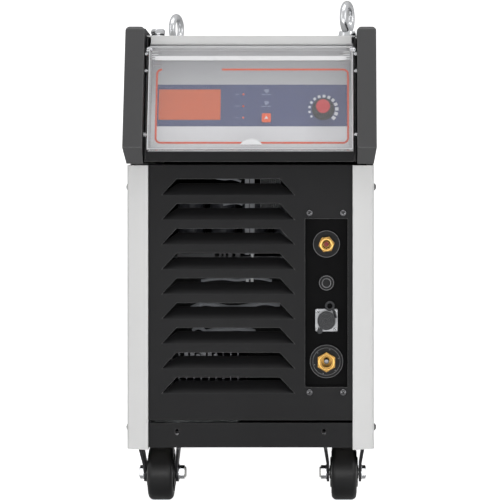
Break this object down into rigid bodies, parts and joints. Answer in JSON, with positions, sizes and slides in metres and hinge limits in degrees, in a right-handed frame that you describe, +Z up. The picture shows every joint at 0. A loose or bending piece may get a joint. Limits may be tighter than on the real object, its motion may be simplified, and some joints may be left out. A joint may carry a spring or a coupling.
{
  "type": "plasma cutter unit",
  "caption": "Upright wheeled plasma cutting power source with a hinged clear lid over its controls, slotted front, lifting eyes, sockets and casters.",
  "frame": {"origin": "on the floor, under the middle of the whole object", "axes": "+X to the right seen from the front, +Y to the rear, +Z up"},
  "size_m": [0.336, 0.64, 0.6836],
  "materials": {
    "black_steel": "fine textured black powder coat",
    "grey_steel": "light grey powder coat, slightly textured",
    "white_steel": "white powder coat",
    "zinc": "bright zinc plating",
    "steel": "plain steel",
    "brass": "turned brass",
    "black_plastic": "moulded, fine grain",
    "guard_plastic": "moulded dark grey, satin grain",
    "cap_rubber": "grey black rubber",
    "wheel_rubber": "black rubber tread on a moulded centre",
    "clear_plastic": "clear polycarbonate, slightly hazy",
    "bowl_plastic": "clear polycarbonate",
    "film": "printed silver film",
    "display_plastic": "orange tinted window",
    "key_plastic": "orange moulded key",
    "knob_plastic": "black skirt with a red cap",
    "aluminium": "extruded or die-cast",
    "board": "green circuit board",
    "can": "sleeved capacitor cans",
    "copper": "enamelled copper winding on a steel core"
  },
  "bodies": {
    "case": {"base_tray": "black_steel", "front_panel": "black_steel", "connector_plate": "black_steel", "torch_flange": "black_plastic", "torch_socket": "brass", "work_flange": "black_plastic", "work_socket": "brass", "push_button_bezel": "black_plastic", "control_socket": "zinc", "side_panel_left": "grey_steel", "side_panel_right": "grey_steel", "rear_panel": "black_steel", "top_cover": "white_steel", "case_screws": "zinc", "lifting_bars": "steel", "eye_bolts": "zinc", "lifting_bolts": "zinc", "head_sides": "black_steel", "head_sill": "black_steel", "control_panel": "steel", "control_film": "film", "display_window": "display_plastic", "potentiometer": "steel", "control_board": "board", "hinge_pins": "zinc", "guard_left": "guard_plastic", "guard_right": "guard_plastic", "caster_plates": "zinc", "rear_forks": "zinc", "fan_frame": "black_plastic", "mains_switch": "black_plastic", "cable_gland": "black_plastic", "regulator_body": "aluminium", "regulator_bowl": "bowl_plastic", "pressure_gauge": "zinc", "shelf": "steel", "inverter_board": "board", "capacitors": "can", "heat_sink": "aluminium", "power_modules": "black_plastic", "main_transformer": "copper", "output_inductor": "copper", "solenoid_valve": "brass", "rear_axles": "zinc"},
    "lid": {"lid": "clear_plastic"},
    "dial_knob": {"dial_knob": "knob_plastic"},
    "mode_button": {"mode_button": "key_plastic"},
    "push_button": {"push_button": "black_plastic"},
    "socket_cap": {"control_socket_cap": "cap_rubber"},
    "swivel_left": {"front_fork_left": "zinc", "front_axle_left": "zinc"},
    "swivel_right": {"front_fork_right": "zinc", "front_axle_right": "zinc"},
    "front_wheel_left": {"front_wheel_left": "wheel_rubber"},
    "front_wheel_right": {"front_wheel_right": "wheel_rubber"},
    "rear_wheel_left": {"rear_wheel_left": "wheel_rubber"},
    "rear_wheel_right": {"rear_wheel_right": "wheel_rubber"},
    "fan": {"fan_rotor": "black_plastic"},
    "switch_handle": {"switch_handle": "black_plastic"},
    "regulator_knob": {"regulator_knob": "black_plastic"}
  },
  "joints": [
    {"name": "lid_hinge", "type": "hinge", "parent": "case", "child": "lid", "pos_m": [0, -0.26942, 0.61382], "axis": [-1, 0, 0], "range_deg": [0, 95]},
    {"name": "knob_turn", "type": "hinge", "parent": "case", "child": "dial_knob", "pos_m": [0.0967, -0.27636, 0.53505], "axis": [0, -0.9681, 0.2504], "range_deg": [-135, 135]},
    {"name": "mode_press", "type": "slide", "parent": "case", "child": "mode_button", "axis": [0, 0.9681, -0.2504], "range_m": [0, 0.002], "stiffness_N_per_m": 600, "springref_m": -0.001},
    {"name": "button_press", "type": "slide", "parent": "case", "child": "push_button", "axis": [0, 1, 0], "range_m": [0, 0.003], "stiffness_N_per_m": 600, "springref_m": -0.001},
    {"name": "cap_pull", "type": "slide", "parent": "case", "child": "socket_cap", "axis": [0, -1, 0], "range_m": [0, 0.02]},
    {"name": "swivel_turn_left", "type": "hinge", "parent": "case", "child": "swivel_left", "pos_m": [-0.125, -0.24, 0.09], "axis": [0, 0, 1], "continuous": true},
    {"name": "front_wheel_roll_left", "type": "hinge", "parent": "swivel_left", "child": "front_wheel_left", "pos_m": [-0.125, -0.215, 0.0375], "axis": [1, 0, 0], "continuous": true},
    {"name": "rear_wheel_roll_left", "type": "hinge", "parent": "case", "child": "rear_wheel_left", "pos_m": [-0.125, 0.225, 0.0375], "axis": [1, 0, 0], "continuous": true},
    {"name": "swivel_turn_right", "type": "hinge", "parent": "case", "child": "swivel_right", "pos_m": [0.125, -0.24, 0.09], "axis": [0, 0, 1], "continuous": true},
    {"name": "front_wheel_roll_right", "type": "hinge", "parent": "swivel_right", "child": "front_wheel_right", "pos_m": [0.125, -0.215, 0.0375], "axis": [1, 0, 0], "continuous": true},
    {"name": "rear_wheel_roll_right", "type": "hinge", "parent": "case", "child": "rear_wheel_right", "pos_m": [0.125, 0.225, 0.0375], "axis": [1, 0, 0], "continuous": true},
    {"name": "fan_spin", "type": "hinge", "parent": "case", "child": "fan", "pos_m": [0, 0.25, 0.23], "axis": [0, 1, 0], "continuous": true},
    {"name": "switch_turn", "type": "hinge", "parent": "case", "child": "switch_handle", "pos_m": [0.095, 0.28, 0.52], "axis": [0, 1, 0], "range_deg": [0, 90]},
    {"name": "pressure_turn", "type": "hinge", "parent": "case", "child": "regulator_knob", "pos_m": [-0.095, 0.3, 0.53], "axis": [0, 0, 1], "range_deg": [-360, 360]}
  ]
}
